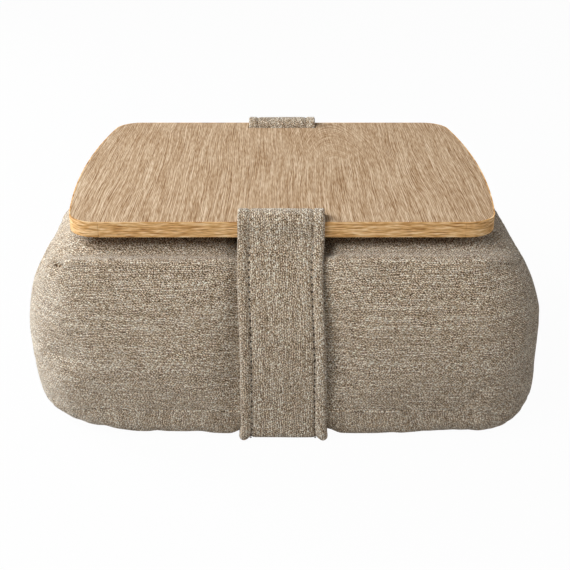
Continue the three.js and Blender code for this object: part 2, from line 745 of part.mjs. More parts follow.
// The arch that holds the pull, drawn from the side and turned to stand on the outer plate
function bail() {
  const half = bailLength / 2;
  const foot = plateReach + sliderPlate - glueGap;
  const top = plateReach + sliderPlate + bailHeight;
  const arch = new THREE.Shape([
    new THREE.Vector2(-half, foot),
    new THREE.Vector2(bailBar - half, foot),
    new THREE.Vector2(bailBar - half, top - bailBar),
    new THREE.Vector2(half - bailBar, top - bailBar),
    new THREE.Vector2(half - bailBar, foot),
    new THREE.Vector2(half, foot),
    new THREE.Vector2(half, top - bailBar),
    new THREE.Vector2(half - bailBar, top),
    new THREE.Vector2(bailBar - half, top),
    new THREE.Vector2(-half, top - bailBar),
  ]);
  return toSolid(extrude(arch, bailWidth).rotateX(Math.PI / 2).translate(0, bailWidth / 2, 0));
}

// A flat tab with an eye, hung on a bar under the bail and lying back along the teeth
function makePull() {
  const tab = rectangle(pullLength, pullWidth, pullCornerRadius);
  const plate = extrude(tab, pullThickness).translate(-pullLength / 2, 0, -pullThickness / 2);
  const eye = block(2 * pullEyeLength, pullEyeWidth, 2 * pullThickness, 0, 0, 0);
  const barLength = pullWidth - pullEyeWidth / 2;
  const bar = new THREE.CylinderGeometry(pullBarRadius, pullBarRadius, barLength, pullBarSides);
  const pull = toSolid(plate).subtract(toSolid(eye)).add(toSolid(bar));
  addZipPiece('zip_pull', toGeometry(pull).translate(sliderMiddle, 0, pullPivot), sliderMetal);
}

makeTray();
makeEdgeBands();
makeStrap();
makeStrapTapes();
makeCover();
makeFilling();
makeZipTapes();
makeZipTeeth();
makeZipStops();
makeSlider();
makePull();

export default lapDesk;
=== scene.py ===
import math

import bmesh
import bpy
import numpy as np
from mathutils import Matrix, Vector


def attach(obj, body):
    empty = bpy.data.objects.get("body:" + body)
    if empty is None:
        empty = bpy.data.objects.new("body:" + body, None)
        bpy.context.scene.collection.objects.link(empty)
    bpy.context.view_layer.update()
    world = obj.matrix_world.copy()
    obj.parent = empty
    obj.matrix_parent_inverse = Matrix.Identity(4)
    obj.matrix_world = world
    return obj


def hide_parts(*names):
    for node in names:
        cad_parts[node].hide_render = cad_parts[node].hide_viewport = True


# Cushioned lap desk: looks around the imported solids, in metres, front towards -Y
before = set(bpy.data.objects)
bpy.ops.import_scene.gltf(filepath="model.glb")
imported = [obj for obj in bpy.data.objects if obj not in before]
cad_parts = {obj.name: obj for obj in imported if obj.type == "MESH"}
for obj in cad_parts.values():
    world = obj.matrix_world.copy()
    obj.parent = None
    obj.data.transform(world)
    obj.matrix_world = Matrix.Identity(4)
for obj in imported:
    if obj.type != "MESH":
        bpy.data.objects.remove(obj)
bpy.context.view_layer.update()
scene = bpy.context.scene
scene.view_settings.view_transform = "Standard"
mm = 0.001

# Camera, fitted to the tray's front top edge
cameraView = {
    "pitch": math.radians(23.28),
    "lens": 57.78,
    "shift": (0.0053, -0.1),
    "frontEdge": Vector((0, -0.140, 0.1935)),
    "edgeDepth": 0.7431,  # along the view, from the lens to the edge
    "edgeDrop": -0.00455,  # below the view's axis
}


def makeCamera(view):
    pitch = view["pitch"]
    ahead = Vector((0, math.cos(pitch), -math.sin(pitch)))
    down = Vector((0, -math.sin(pitch), -math.cos(pitch)))
    data = bpy.data.cameras.new("camera")
    data.lens = view["lens"]
    data.shift_x, data.shift_y = view["shift"]
    camera = bpy.data.objects.new("camera", data)
    camera.location = view["frontEdge"] - view["edgeDepth"] * ahead - view["edgeDrop"] * down
    camera.rotation_euler = (math.pi / 2 - pitch, 0, 0)
    scene.collection.objects.link(camera)
    scene.camera = camera


makeCamera(cameraView)
print("camera placed")


# Node helpers
def newMaterial(name):
    material = bpy.data.materials.new(name)
    material.use_nodes = True
    material.node_tree.nodes.clear()
    return material, material.node_tree


def plug(tree, socket, value):
    if isinstance(value, bpy.types.NodeSocket):
        tree.links.new(value, socket)
    else:
        socket.default_value = value


def addNode(tree, kind, inputs=None, **settings):
    node = tree.nodes.new(kind)
    for key, value in settings.items():
        setattr(node, key, value)
    for key, value in (inputs or {}).items():
        plug(tree, node.inputs[key], value)
    return node


def calc(tree, operation, *values):
    node = addNode(tree, "ShaderNodeMath", operation=operation)
    for socket, value in zip(node.inputs, values):
        plug(tree, socket, value)
    return node.outputs[0]


# Layers of a tone, each times its share
def weighted(tree, layers, shares, base):
    total = base
    for name, share in shares.items():
        total = calc(tree, "MULTIPLY_ADD", layers[name], share, total)
    return total


def noise(tree, vector, detail=2.0, roughness=0.5, scale=1.0):
    inputs = {"Vector": vector, "Scale": scale, "Detail": detail, "Roughness": roughness}
    return addNode(tree, "ShaderNodeTexNoise", inputs).outputs["Fac"]


def stretched(tree, vector, scale, location=(0, 0, 0)):
    inputs = {"Vector": vector, "Scale": scale, "Location": location}
    return addNode(tree, "ShaderNodeMapping", inputs).outputs["Vector"]


def combine(tree, x, y):
    return addNode(tree, "ShaderNodeCombineXYZ", {"X": x, "Y": y}).outputs["Vector"]


def ramp(tree, factor, stops):
    node = addNode(tree, "ShaderNodeValToRGB", {"Fac": factor})
    elements = node.color_ramp.elements
    while len(elements) < len(stops):
        elements.new(1.0)
    for element, (position, colour) in zip(elements, stops):
        element.position = position
        element.color = (*colour, 1)
    return node.outputs["Color"]


def mixColours(tree, factor, first, second):
    inputs = {0: factor, 6: (*first, 1), 7: (*second, 1)}
    return addNode(tree, "ShaderNodeMix", inputs, data_type="RGBA").outputs[2]


def bump(tree, height, distance, strength):
    inputs = {"Height": height, "Distance": distance, "Strength": strength}
    return addNode(tree, "ShaderNodeBump", inputs).outputs["Normal"]


def finishSurface(tree, inputs):
    surface = addNode(tree, "ShaderNodeBsdfPrincipled", inputs)
    addNode(tree, "ShaderNodeOutputMaterial", {"Surface": surface.outputs["BSDF"]})


def objectPlace(tree):
    return addNode(tree, "ShaderNodeTexCoord").outputs["Object"]


# Tweed: short floats of yarn in fine rows, with slubs of pale yarn; the UV map is in millimetres
tweedCloth = {
    "rowPitch": 1.4,
    "floatPitch": 2.45,
    "stagger": -0.38,  # how far each row's floats lie past those of the row before
    "slant": 0.35,  # how far a float leans across its row
    "rowShift": 0.35,  # how far chance moves a row's floats
    "driftFineness": (0.02, 0.02, 0),
    "drift": 4.0,  # slow bends of the rows, in rows
    "wobbleFineness": (0.27, 0.34, 0),
    "rowWobble": 1.7,
    "floatWobble": 1.6,
    "rowFlatness": 2.0,
    "floatFlatness": 4.0,
    "plies": 2.0,  # turns of the yarn's twist in a float
    "plyLean": 0.8,
    "plyDepth": 0.6,
    "paleRows": 0.52,  # rows of a greater chance have pale floats
    "paleFloats": 0.3,
    "slubLength": 24.0,
    "slubStep": 3.71,  # keeps rows' slubs apart
    "slubLevel": 0.48,
    "mottleFineness": (0.02, 0.05, 0),
    "yarnShares": {"chance": 0.3, "slub": 0.7, "paleFloat": 0.45, "mottle": 0.06},
    "yarnBase": 0.41,
    "fuzzFineness": (1.15, 1.15, 0),
    "fuzz": 3.2,
    "fuzzBase": -0.6,
    "gapHeight": 0.05,  # between the yarns
    "contrast": 1.35,
    "toneBase": -0.09,
    "tones": [(0.0, (0.04, 0.02, 0.008)), (0.2, (0.32, 0.22, 0.13)), (0.4, (0.83, 0.63, 0.425)),
              (0.65, (1.0, 0.9, 0.73)), (1.0, (1.0, 0.98, 0.88))],
    "bumpHeight": 0.0006,
}


def plateau(tree, part, flatness):
    side = calc(tree, "ABSOLUTE", calc(tree, "MULTIPLY_ADD", part, 2.0, -1.0))
    return calc(tree, "SUBTRACT", 1.0, calc(tree, "POWER", side, flatness))


def chanceOf(tree, dimensions, inputs):
    return addNode(tree, "ShaderNodeTexWhiteNoise", inputs, noise_dimensions=dimensions).outputs["Value"]


def tweedTone(tree, settings):
    uv = addNode(tree, "ShaderNodeUVMap", uv_map="threads").outputs["UV"]
    place = addNode(tree, "ShaderNodeSeparateXYZ", {"Vector": uv})
    drift = noise(tree, stretched(tree, uv, settings["driftFineness"]), 0.0)
    wobble = noise(tree, stretched(tree, uv, settings["wobbleFineness"]), 2.0, 0.7)
    row = calc(tree, "DIVIDE", place.outputs["Y"], settings["rowPitch"])
    row = calc(tree, "MULTIPLY_ADD", wobble, settings["rowWobble"], row)
    row = calc(tree, "MULTIPLY_ADD", drift, settings["drift"], row)
    rowNumber, rowPart = calc(tree, "FLOOR", row), calc(tree, "FRACT", row)
    rowChance = chanceOf(tree, "1D", {"W": rowNumber})
    along = calc(tree, "DIVIDE", place.outputs["X"], settings["floatPitch"])
    shifts = ((wobble, "floatWobble"), (rowChance, "rowShift"), (rowNumber, "stagger"), (rowPart, "slant"))
    for value, share in shifts:
        along = calc(tree, "MULTIPLY_ADD", value, settings[share], along)
    floatNumber, floatPart = calc(tree, "FLOOR", along), calc(tree, "FRACT", along)
    hill = calc(tree, "MULTIPLY", plateau(tree, rowPart, settings["rowFlatness"]),
                plateau(tree, floatPart, settings["floatFlatness"]))
    twist = calc(tree, "MULTIPLY", along, settings["plies"])
    twist = calc(tree, "MULTIPLY_ADD", rowPart, settings["plyLean"], twist)
    ply = plateau(tree, calc(tree, "FRACT", twist), settings["rowFlatness"])
    ply = calc(tree, "MULTIPLY_ADD", ply, settings["plyDepth"], 1 - settings["plyDepth"])
    hill = calc(tree, "MULTIPLY", hill, ply)
    chance = chanceOf(tree, "2D", {"Vector": combine(tree, floatNumber, rowNumber)})
    paleRow = calc(tree, "GREATER_THAN", rowChance, settings["paleRows"])
    everyOther = calc(tree, "FLOORED_MODULO", floatNumber, 2.0)
    paleFloat = calc(tree, "GREATER_THAN", chance, settings["paleFloats"])
    paleFloat = calc(tree, "MULTIPLY", calc(tree, "MULTIPLY", paleRow, everyOther), paleFloat)
    slubPlace = combine(tree, calc(tree, "DIVIDE", place.outputs["X"], settings["slubLength"]),
                        calc(tree, "MULTIPLY", rowNumber, settings["slubStep"]))
    slub = calc(tree, "SUBTRACT", noise(tree, slubPlace, 1.0), settings["slubLevel"])
    slub = calc(tree, "MAXIMUM", slub, 0.0)
    mottle = noise(tree, stretched(tree, uv, settings["mottleFineness"]), 3.0)
    layers = {"chance": chance, "slub": slub, "paleFloat": paleFloat, "mottle": mottle}
    yarn = weighted(tree, layers, settings["yarnShares"], settings["yarnBase"])
    fuzz = noise(tree, stretched(tree, uv, settings["fuzzFineness"]), 0.0)
    fibres = calc(tree, "MULTIPLY_ADD", fuzz, settings["fuzz"], settings["fuzzBase"])
    hill = calc(tree, "MULTIPLY_ADD", hill, 1 - settings["gapHeight"], settings["gapHeight"])
    hill = calc(tree, "MULTIPLY", hill, fibres)
    tone = calc(tree, "MULTIPLY", hill, yarn)
    return calc(tree, "MULTIPLY_ADD", tone, settings["contrast"], settings["toneBase"]), hill


def makeTweed(name, settings):
    material, tree = newMaterial(name)
    tone, hill = tweedTone(tree, settings)
    finishSurface(tree, {
        "Base Color": ramp(tree, tone, settings["tones"]),
        "Roughness": 0.92,
        "Specular IOR Level": 0.2,
        "Sheen Weight": 0.3,
        "Sheen Roughness": 0.4,
        "Normal": bump(tree, hill, settings["bumpHeight"], 0.8),
    })
    return material


tweed = makeTweed("tweed", tweedCloth)

# Oak face: long fine pores from front to back, and an arched figure towards the right of the rear
oakFace = {
    "archMiddle": 0.052,
    "archFoot": 0.012,  # in front of it the grain runs straight
    "archSpread": 0.013,
    "archReach": 0.062,
    "archEdge": 2.0,  # how sharply the figure ends at its reach
    "archOnset": 25.0,  # how soon it begins behind its foot
    "archMost": 0.5,
    "wanderFineness": (14, 6, 1),
    "wander": 0.012,
    "pores": (1450.0, 13.0),  # to the metre, across the grain and along it
    "ticks": (1300.0, 85.0),
    "stagger": 0.37,
    "streakFineness": (300, 7, 1),
    "streakStart": (5, 2, 0),
    "bandFineness": (60, 2.5, 1),
    "bandStart": (1, 8, 0),
    "ringFineness": (260, 1, 1),
    "shares": {"pores": 2.2, "ticks": 1.5, "streaks": 0.3, "bands": 0.25, "rings": 0.3},
    "toneBase": -1.595,
    "tones": [(0.0, (0.205, 0.105, 0.045)), (0.3, (0.345, 0.213, 0.113)), (0.55, (0.458, 0.311, 0.187)),
              (1.0, (0.69, 0.535, 0.38))],
    "bumpHeight": 0.0001,
}


# Pores in neighbouring lines end at different places
def grained(tree, across, onward, counts, stagger):
    line = calc(tree, "MULTIPLY", across, counts[0])
    end = calc(tree, "MULTIPLY", onward, counts[1])
    end = calc(tree, "MULTIPLY_ADD", line, stagger, end)
    return noise(tree, combine(tree, line, end), 1.0)


def makeOakFace(settings):
    material, tree = newMaterial("oakFace")
    spot = objectPlace(tree)
    place = addNode(tree, "ShaderNodeSeparateXYZ", {"Vector": spot})
    x, y = place.outputs["X"], place.outputs["Y"]
    wander = calc(tree, "SUBTRACT", noise(tree, stretched(tree, spot, settings["wanderFineness"])), 0.5)
    across = calc(tree, "MULTIPLY_ADD", wander, settings["wander"], x)
    away = calc(tree, "SUBTRACT", across, settings["archMiddle"])
    onward = calc(tree, "MAXIMUM", calc(tree, "SUBTRACT", y, settings["archFoot"]), 0.0)
    ring = calc(tree, "MULTIPLY_ADD", onward, settings["archSpread"], calc(tree, "MULTIPLY", away, away))
    ring = calc(tree, "SQRT", ring)
    near = calc(tree, "SUBTRACT", 1.0, calc(tree, "DIVIDE", ring, settings["archReach"]))
    near = calc(tree, "MAXIMUM", calc(tree, "MULTIPLY", near, settings["archEdge"]), 0.0)
    figured = calc(tree, "MULTIPLY", near, calc(tree, "MULTIPLY", onward, settings["archOnset"]))
    figured = calc(tree, "MINIMUM", figured, settings["archMost"])
    straightPores = grained(tree, across, y, settings["pores"], settings["stagger"])
    archedPores = grained(tree, ring, calc(tree, "ADD", y, away), settings["pores"], settings["stagger"])
    pores = addNode(tree, "ShaderNodeMix", {0: figured, 2: straightPores, 3: archedPores}).outputs[0]
    straight = combine(tree, across, y)
    streakPlace = stretched(tree, straight, settings["streakFineness"], settings["streakStart"])
    bandPlace = stretched(tree, straight, settings["bandFineness"], settings["bandStart"])
    rings = noise(tree, stretched(tree, combine(tree, ring, 0.0), settings["ringFineness"]), 3.0, 0.7)
    layers = {
        "pores": pores,
        "ticks": grained(tree, across, y, settings["ticks"], settings["stagger"]),
        "streaks": noise(tree, streakPlace, 3.0, 0.6),
        "bands": noise(tree, bandPlace),
        "rings": calc(tree, "MULTIPLY", calc(tree, "SUBTRACT", rings, 0.5), figured),
    }
    tone = weighted(tree, layers, settings["shares"], settings["toneBase"])
    finishSurface(tree, {
        "Base Color": ramp(tree, tone, settings["tones"]),
        "Roughness": 0.78,
        "Specular IOR Level": 0.12,
        "Normal": bump(tree, pores, settings["bumpHeight"], 0.4),
    })
    return material


# Oak edge: broken streaks that run along the edge
oakEdge = {
    "streakFineness": (90, 90, 1400),
    "bandFineness": (26, 26, 600),
    "bandStart": (4, 0, 9),
    "shares": {"streaks": 2.05, "bands": 0.2},
    "toneBase": -0.56,
    "tones": [(0.1, (0.25, 0.097, 0.026)), (0.42, (0.585, 0.312, 0.108)), (0.62, (0.745, 0.435, 0.178)),
              (0.95, (0.95, 0.71, 0.42))],
    "bumpHeight": 0.0002,
}


def makeOakEdge(settings):
    material, tree = newMaterial("oakEdge")
    spot = objectPlace(tree)
    streaks = noise(tree, stretched(tree, spot, settings["streakFineness"]), 2.0, 0.6)
    bands = noise(tree, stretched(tree, spot, settings["bandFineness"], settings["bandStart"]))
    tone = weighted(tree, {"streaks": streaks, "bands": bands}, settings["shares"], settings["toneBase"])
    finishSurface(tree, {
        "Base Color": ramp(tree, tone, settings["tones"]),
        "Roughness": 0.7,
        "Specular IOR Level": 0.15,
        "Normal": bump(tree, streaks, settings["bumpHeight"], 0.4),
    })
    return material


# Plain finishes of the hidden and small pieces
plainFinishes = {
    "boardCore": {"colour": (0.33, 0.21, 0.11), "fleck": (0.22, 0.13, 0.06), "grain": 900, "rough": 0.9},
    "closureTape": {"colour": (0.27, 0.22, 0.17), "fleck": (0.16, 0.13, 0.10), "grain": 1500, "rough": 0.95},
    "zipTape": {"colour": (0.26, 0.205, 0.15), "fleck": (0.18, 0.14, 0.10), "grain": 1900, "rough": 0.9},
    "zipTeeth": {"colour": (0.42, 0.36, 0.29), "fleck": (0.36, 0.31, 0.25), "grain": 300, "rough": 0.4},
    "zipMetal": {"colour": (0.40, 0.36, 0.30), "fleck": (0.33, 0.29, 0.24), "grain": 220, "rough": 0.3},
}


def makePlain(name, settings):
    material, tree = newMaterial(name)
    grain = noise(tree, objectPlace(tree), scale=settings["grain"])
    finishSurface(tree, {
        "Base Color": mixColours(tree, grain, settings["colour"], settings["fleck"]),
        "Roughness": settings["rough"],
        "Normal": bump(tree, grain, 0.0002, 0.4),
    })
    return material


plain = {name: makePlain(name, settings) for name, settings in plainFinishes.items()}
nodeFinishes = {
    makeOakFace(oakFace): ["tray_top_veneer", "tray_bottom_veneer"],
    makeOakEdge(oakEdge): ["edge_band_front", "edge_band_rear", "edge_band_left", "edge_band_right"],
    plain["boardCore"]: ["tray_core"],
    plain["closureTape"]: ["strap_hook_tape", "strap_loop_tape"],
    plain["zipTape"]: ["zip_tape_upper", "zip_tape_lower"],
    plain["zipTeeth"]: ["zip_teeth_upper", "zip_teeth_lower", "zip_top_stop_upper", "zip_top_stop_lower",
                        "zip_bottom_stop"],
    plain["zipMetal"]: ["zip_slider", "zip_pull"],
}
for material, names in nodeFinishes.items():
    for name in names:
        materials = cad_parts[name].data.materials
        materials.clear()
        materials.append(material)
print("tray and zip finished")


# Smooth step from 0 to 1
def easing(value, start, end):
    share = np.clip((value - start) / (end - start), 0, 1)
    return share * share * (3 - 2 * share)


# Cushion: a stuffed box cover with a seam round the top and one round the foot
cushion = {
    "width": 0.452,
    "depth": 0.334,
    "height": 0.180,
    "cornerRadius": 0.066,
    "bulgeHeight": 0.072,
    "girthRise": 0.03,  # the girth is measured this far above
    "panelApart": 1.0,  # between the panels' places on the cloth
    "sidePower": 2.2,
    "topSeam": {"height": 0.163, "endHeight": 0.147, "cornerDrop": 0.0005, "draw": 0.013, "endDraw": 0.018,
                "cornerDraw": 0.002, "crown": 1.8, "shoulder": 0.48, "shoulderCrown": 8, "dip": 2.5,
                "trough": 0.34, "troughAt": 0.72, "troughHalf": 0.17, "troughSkew": 0.3},
    "bottomSeam": {"height": 0.029, "endHeight": 0.027, "cornerDrop": 0.012, "draw": 0.001, "endDraw": 0.002,
                   "cornerDraw": 0.002, "crown": 12, "rightCrown": 16, "frontCrown": 32},
    "cornerShares": (0.06, 0.13, 0.2, 0.27, 0.34, 0.41, 0.48, 0.55, 0.62, 0.69, 0.75, 0.81, 0.87, 0.92,
                     0.96, 0.983, 1.0),
    "lineStep": 0.0065,
    "seamSteps": (0.0012, 0.003, 0.006, 0.010),  # rows close beside a seam
    "channelHalf": 0.037,
    "channelSlope": 0.010,
    "channelFade": 4,
    "topChannel": 0.0059,
    "closureChannel": 0.01095,
    "closureHalf": 0.050,
    "bottomChannel": 0.0054,
    "topEdgeDent": 0.007,
    "frontDent": 0.003,  # beside the strap, on the front and rear
    "frontDentEnd": 0.066,
    "zipMiddle": 0.072,
    "zipGap": 0.007,  # half the opening between the end panels
    "zipValley": 0.0044,
    "valleyHalf": 0.028,
    "zipRows": (0.0062, 0.007, 0.0078, 0.0095, 0.013, 0.016, 0.020, 0.024),
    "zipLength": 0.1008,  # half the opening's length
    "zipFloor": 0.2172,
    "trayReach": (0.165, 0.152),  # the tray presses the top flat this far out
    "trayEdge": (0.190, 0.143),
    "clearance": 0.0002,  # from the tray and the floor
    "seamHold": 0.0005,  # within these the filling moves nothing
    "trayHold": 0.0015,
    "floorHold": 0.0006,
    "zipHold": 0.012,
    "pressure": 4.0,
    "growth": -0.012,  # shrink factor: below zero the cloth is cut full
    "moveCap": 0.006,
    "clothSteps": 20,
    "clothQuality": 6,
    "clothStiffness": 20,
    "clothBending": 0.6,
    "lean": 0.0036,  # how far the filling has sunk to the right
    "leanFrom": (0.165, 0.075),
    "zipEnd": (0.13, 0.2),  # the zip's end holds its shape past here
    "zipCorner": (0.1018, 0.122),
    "cornerLift": 0.006,  # at the foot of the front left corner
    "liftAcross": (0.115, 0.2),
    "liftForward": (0.085, 0.14),
    "liftHeight": (0.01, 0.07),
}


def spaced(marks, step):
    lines = [marks[0]]
    for start, end in zip(marks, marks[1:]):
        count = max(1, round((end - start) / step))
        lines += list(np.linspace(start, end, count + 1)[1:])
    return np.array(lines)


def mirrored(lines):
    return np.concatenate([-lines[:0:-1], lines])


# Lines of the lattice: a place on the straight stretch and a share of the corner past it
def latticeLines(half, marks, settings):
    straight = half - settings["cornerRadius"]
    places = mirrored(spaced([0.0, *marks, straight], settings["lineStep"]))
    shares = np.array(settings["cornerShares"])
    at = np.concatenate([-straight * np.ones(len(shares)), places, straight * np.ones(len(shares))])
    share = np.concatenate([-shares[::-1], np.zeros(len(places)), shares])
    return at, share


def heightLines(settings):
    low, high = settings["bottomSeam"]["height"], settings["topSeam"]["height"]
    fine = [low + d for d in (0, *settings["seamSteps"])] + [high - d for d in (0, *settings["seamSteps"])]
    zipLines = [settings["zipMiddle"] + d for row in settings["zipRows"] for d in (-row, row)]
    return spaced(sorted(fine + zipLines), settings["lineStep"])


# Plan position, share of the way to the border, share of the end and height of the seam nearby
def planPoints(column, row, seam, drawn, settings):
    (xAt, xShare), (yAt, yShare) = column, row
    p = xShare * np.sqrt(1 - yShare**2 / 2)
    q = yShare * np.sqrt(1 - xShare**2 / 2)
    edge = np.hypot(p, q)
    end = np.where(edge > 0, (p / np.maximum(edge, 1e-9)) ** 2, 0)
    corner = 2 * np.abs(p * q)
    draw = seam["draw"] + (seam["endDraw"] - seam["draw"]) * end + seam["cornerDraw"] * corner
    radius = settings["cornerRadius"] - draw * drawn
    seamZ = seam["height"] + (seam["endHeight"] - seam["height"]) * end - seam["cornerDrop"] * corner
    return xAt + radius * p, yAt + radius * q, edge, end, seamZ


def acrossChannel(x, settings):
    half, slope = settings["channelHalf"], settings["channelSlope"]
    return 1 - easing(np.abs(x), half, half + slope)


def topPoints(column, row, settings):
    seam = settings["topSeam"]
    x, y, edge, end, seamZ = planPoints(column, row, seam, 1, settings)
    channel = acrossChannel(x, settings)
    shoulder = seam["shoulder"] * (1 - edge ** seam["shoulderCrown"])
    dipped = shoulder + (1 - seam["shoulder"]) * (1 - np.minimum(edge, 1)) ** seam["dip"]
    trough = np.exp(-(((edge - seam["troughAt"]) / seam["troughHalf"]) ** 2))
    dipped = dipped - seam["trough"] * (1 - seam["troughSkew"] * np.sign(x)) * trough
    rise = dipped + (1 - edge ** seam["crown"] - dipped) * end
    closed = 1 - easing(np.abs(y), settings["closureHalf"], settings["closureHalf"] + settings["channelSlope"])
    depth = settings["topChannel"] + (settings["closureChannel"] - settings["topChannel"]) * closed
    depth = depth * (1 - edge ** settings["channelFade"])
    z = seamZ + (settings["height"] - seamZ) * rise - depth * channel
    y = y - settings["topEdgeDent"] * edge**2 * np.sign(y) * channel
    return np.stack([x, y, z], 1), edge


def bottomPoints(column, row, settings):
    seam = settings["bottomSeam"]
    x, y, edge, end, seamZ = planPoints(column, row, seam, 1, settings)
    straight = settings["width"] / 2 - settings["cornerRadius"]
    middle = (1 - (column[0] / straight) ** 2) * (1 - end)
    sideCrown = np.where(x > 0, seam["rightCrown"], seam["crown"])
    crown = sideCrown + (seam["frontCrown"] - sideCrown) * middle
    channel = settings["bottomChannel"] * (1 - edge**crown) * acrossChannel(x, settings)
    return np.stack([x, y, seamZ * edge**crown + channel], 1), edge


def sidePoints(column, row, z, settings):
    bulge = settings["bulgeHeight"]
    points = np.zeros((len(z), 3))
    for seam, part in ((settings["topSeam"], z > bulge), (settings["bottomSeam"], z <= bulge)):
        share = (z[part] - bulge) / (seam["height"] - bulge)
        lines = [(at[part], past[part]) for at, past in (column, row)]
        x, y, _, _, seamZ = planPoints(*lines, seam, share ** settings["sidePower"], settings)
        dent = np.where(z[part] > bulge, settings["topEdgeDent"] * share**2, 0) * acrossChannel(x, settings)
        wide = 1 - easing(np.abs(x), settings["channelHalf"], settings["frontDentEnd"])
        dent += settings["frontDent"] * wide * (1 - share**2)
        y = y - np.where(lines[0][1] == 0, dent * np.sign(y), 0)
        points[part] = np.stack([x, y, z[part] - (seam["height"] - seamZ) * share], 1)
    atEnd = np.where(column[1] == 1, (1 - np.abs(row[1])) ** 2, 0)
    away = np.abs(z - settings["zipMiddle"])
    valley = 1 - easing(away, settings["zipGap"], settings["valleyHalf"])
    points[:, 0] -= settings["zipValley"] * atEnd * valley
    opening = (column[1] == 1) & (np.abs(points[:, 1]) < settings["zipLength"]) & (away < settings["zipGap"])
    points[opening, 0] = settings["zipFloor"]
    return points


# A box cut into a lattice of squares, whose vertices are at whole numbers
def latticeBox(counts):
    box = bmesh.new()
    bmesh.ops.create_cube(box, size=1.0)
    bmesh.ops.translate(box, verts=box.verts, vec=(0.5, 0.5, 0.5))
    for axis, count in enumerate(counts):
        along = [e for e in box.edges if abs(e.verts[0].co[axis] - e.verts[1].co[axis]) > 0.5]
        bmesh.ops.subdivide_edges(box, edges=along, cuts=count - 1, use_grid_fill=True)
    bmesh.ops.scale(box, verts=box.verts, vec=counts)
    box.verts.index_update()
    return box


# Distance round the boxing from the middle of the rear, by lattice column and row
def roundBoxing(columns, rows, settings):
    lastColumn, lastRow = len(columns[0]) - 1, len(rows[0]) - 1
    middle = lastColumn // 2
    loop = [(c, lastRow) for c in range(middle, 0, -1)]
    loop += [(0, r) for r in range(lastRow, 0, -1)]
    loop += [(c, 0) for c in range(lastColumn)]
    loop += [(lastColumn, r) for r in range(lastRow)]
    loop += [(c, lastRow) for c in range(lastColumn, middle, -1)]
    order = np.array(loop + loop[:1])
    column = (columns[0][order[:, 0]], columns[1][order[:, 0]])
    row = (rows[0][order[:, 1]], rows[1][order[:, 1]])
    level = settings["bulgeHeight"] + settings["girthRise"]
    places = sidePoints(column, row, np.full(len(order), level), settings)
    lengths = np.linalg.norm(np.diff(places[:, :2], axis=0), axis=1)
    distance = np.concatenate([[0], np.cumsum(lengths)])
    return {tuple(place): d for place, d in zip(loop, distance)}, distance[-1]


# Cloth coordinates of a panel: distances along its surface from its middle
def flatPanel(points, place, level, counts):
    grid = np.zeros((counts[0] + 1, counts[1] + 1, 3))
    panel = place[:, 2] == level
    grid[place[panel, 0], place[panel, 1]] = points[panel]
    flat = []
    for axis in (0, 1):
        lengths = np.cumsum(np.linalg.norm(np.diff(grid, axis=axis), axis=2), axis=axis)
        lengths = np.insert(lengths, 0, 0, axis=axis)
        flat.append(lengths - np.take(lengths, [counts[axis] // 2], axis=axis))
    return flat


# Distance round the boxing of the seam's nearest place, for the panels too
def alongSeam(columns, rows, place, distances, settings):
    radius = settings["cornerRadius"]
    lines = [at + radius * share for at, share in (columns, rows)]
    shares = [columns[1][place[:, 0]], rows[1][place[:, 1]]]
    ats = [columns[0][place[:, 0]], rows[0][place[:, 1]]]
    along = np.zeros(len(place))
    whole = max(distances.values())
    for axis in (0, 1):
        other = 1 - axis
        nearer = np.abs(shares[other]) >= np.abs(shares[axis])
        key = ats[axis] + radius * shares[axis] / np.maximum(np.abs(shares[other]), 1e-6)
        for side, index in ((-1, 0), (1, len((columns, rows)[other][0]) - 1)):
            spots = [(n, index) if axis == 0 else (index, n) for n in range(len(lines[axis]))]
            table = np.array([distances[spot] for spot in spots])
            if np.ptp(table) > whole / 2:
                table = np.where(table < whole / 2, table + whole, table)
            part = nearer & (np.sign(shares[other]) == side)
            along[part] = np.interp(key[part], lines[axis], table)
    return along


# Length up the boxing from its fullest level, for each place round it
def upBoxing(points, place, heights, settings):
    fullest = int(np.argmin(np.abs(heights - settings["bulgeHeight"])))
    stacks = {}
    for spot, point in zip(place, points):
        stacks.setdefault((spot[0], spot[1]), {})[spot[2]] = point
    lengths = {}
    for spot, stack in stacks.items():
        if len(stack) == len(heights):
            line = np.array([stack[level] for level in range(len(heights))])
            steps = np.concatenate([[0], np.cumsum(np.linalg.norm(np.diff(line, axis=0), axis=1))])
            lengths[spot] = steps - steps[fullest]
    return lengths


